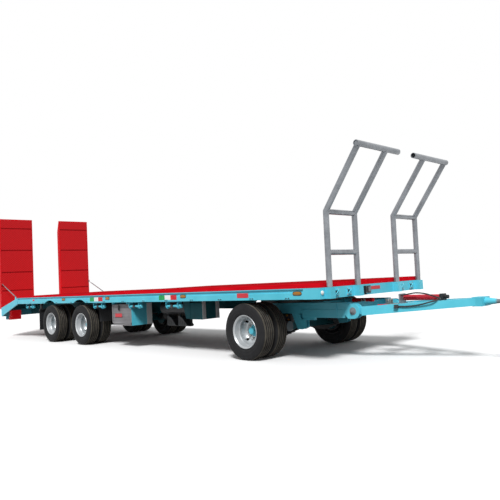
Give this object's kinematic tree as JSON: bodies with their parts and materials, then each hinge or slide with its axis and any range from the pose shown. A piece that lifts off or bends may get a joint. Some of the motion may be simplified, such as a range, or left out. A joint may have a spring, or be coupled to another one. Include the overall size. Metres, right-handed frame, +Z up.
{
  "type": "three-axle platform trailer",
  "caption": "Flatbed drawbar trailer: turntable dolly, A-frame drawbar, twin wheels, sloping tail with upright loading ramps and front ladder frames.",
  "frame": {"origin": "on the ground, half way along, across and under the trailer", "axes": "+X forward to the towing eye, +Y to the left side, +Z up"},
  "size_m": [12.33, 2.5, 3.03],
  "materials": {
    "teal_paint": "gloss paint",
    "red_paint": "gloss paint",
    "galvanised": "hot-dip galvanised",
    "black_steel": "satin black paint",
    "wheel_silver": "silver wheel paint",
    "tyre": "matt rubber",
    "rubber": "matt rubber",
    "grey_plastic": "moulded",
    "black_plastic": "moulded",
    "red_lens": "lamp lens",
    "amber_lens": "lamp lens",
    "red_hose": "extruded hose"
  },
  "bodies": {
    "chassis": {"main_beams": "teal_paint", "cross_members": "teal_paint", "side_rail_right": "teal_paint", "side_rail_left": "teal_paint", "front_beam": "teal_paint", "tail_beam": "teal_paint", "deck_front": "red_paint", "deck_rear": "red_paint", "deck_tail": "red_paint", "ladder_right": "galvanised", "ladder_left": "galvanised", "strap_winches": "teal_paint", "toolbox_body": "grey_plastic", "toolbox_cradle": "teal_paint", "side_locker": "teal_paint", "junction_box": "black_plastic", "tail_lamps": "red_lens", "marker_lamps": "amber_lens", "mudflaps": "rubber", "air_tanks": "black_steel", "spring_hangers": "teal_paint", "bogie_springs": "black_steel", "axle_mid": "black_steel", "axle_rear": "black_steel", "brake_chambers_rear": "black_steel", "turntable_upper": "black_steel"},
    "dolly": {"turntable_lower": "black_steel", "dolly_frame": "teal_paint", "dolly_springs": "black_steel", "axle_front": "black_steel", "brake_chambers_front": "black_steel"},
    "drawbar": {"drawbar_frame": "teal_paint", "tow_eye": "black_steel", "support_strut": "red_paint", "hose_holder": "galvanised", "air_coil": "red_hose", "brake_hose": "rubber", "hose_coupling": "red_paint"},
    "lid": {"toolbox_lid": "grey_plastic"},
    "ramp_right_body": {"ramp_right": "red_paint"},
    "stay_right_body": {"stay_right": "galvanised"},
    "ramp_left_body": {"ramp_left": "red_paint"},
    "stay_left_body": {"stay_left": "galvanised"},
    "wheels_front_right": {"tyres_front_right": "tyre", "wheel_front_right": "wheel_silver"},
    "wheels_front_left": {"tyres_front_left": "tyre", "wheel_front_left": "wheel_silver"},
    "wheels_mid_right": {"tyres_mid_right": "tyre", "wheel_mid_right": "wheel_silver"},
    "wheels_mid_left": {"tyres_mid_left": "tyre", "wheel_mid_left": "wheel_silver"},
    "wheels_rear_right": {"tyres_rear_right": "tyre", "wheel_rear_right": "wheel_silver"},
    "wheels_rear_left": {"tyres_rear_left": "tyre", "wheel_rear_left": "wheel_silver"}
  },
  "joints": [
    {"name": "steer", "type": "hinge", "parent": "chassis", "child": "dolly", "pos_m": [2.805, 0, 0.8], "axis": [0, 0, 1], "range_deg": [-90, 90]},
    {"name": "drawbar_pivot", "type": "hinge", "parent": "dolly", "child": "drawbar", "pos_m": [4.175, 0, 0.64], "axis": [0, -1, 0], "range_deg": [-18, 12]},
    {"name": "lid_hinge", "type": "hinge", "parent": "chassis", "child": "lid", "pos_m": [-0.47, -1.16, 0.425], "axis": [1, 0, 0], "range_deg": [0, 100]},
    {"name": "ramp_right_hinge", "type": "hinge", "parent": "chassis", "child": "ramp_right_body", "pos_m": [-6.08, -0.81, 0.69], "axis": [0, -1, 0], "range_deg": [0, 106]},
    {"name": "stay_right_hinge", "type": "hinge", "parent": "chassis", "child": "stay_right_body", "pos_m": [-5.165, -1.208, 0.995], "axis": [0, 1, 0], "range_deg": [0, 156]},
    {"name": "ramp_left_hinge", "type": "hinge", "parent": "chassis", "child": "ramp_left_body", "pos_m": [-6.08, 0.81, 0.69], "axis": [0, -1, 0], "range_deg": [0, 106]},
    {"name": "stay_left_hinge", "type": "hinge", "parent": "chassis", "child": "stay_left_body", "pos_m": [-5.165, 1.208, 0.995], "axis": [0, 1, 0], "range_deg": [0, 156]},
    {"name": "wheel_front_right_turn", "type": "hinge", "parent": "dolly", "child": "wheels_front_right", "pos_m": [2.805, -0.9975, 0.3985], "axis": [0, 1, 0], "continuous": true},
    {"name": "wheel_front_left_turn", "type": "hinge", "parent": "dolly", "child": "wheels_front_left", "pos_m": [2.805, 0.9975, 0.3985], "axis": [0, 1, 0], "continuous": true},
    {"name": "wheel_mid_right_turn", "type": "hinge", "parent": "chassis", "child": "wheels_mid_right", "pos_m": [-1.925, -0.9975, 0.3985], "axis": [0, 1, 0], "continuous": true},
    {"name": "wheel_mid_left_turn", "type": "hinge", "parent": "chassis", "child": "wheels_mid_left", "pos_m": [-1.925, 0.9975, 0.3985], "axis": [0, 1, 0], "continuous": true},
    {"name": "wheel_rear_right_turn", "type": "hinge", "parent": "chassis", "child": "wheels_rear_right", "pos_m": [-3.275, -0.9975, 0.3985], "axis": [0, 1, 0], "continuous": true},
    {"name": "wheel_rear_left_turn", "type": "hinge", "parent": "chassis", "child": "wheels_rear_left", "pos_m": [-3.275, 0.9975, 0.3985], "axis": [0, 1, 0], "continuous": true}
  ]
}
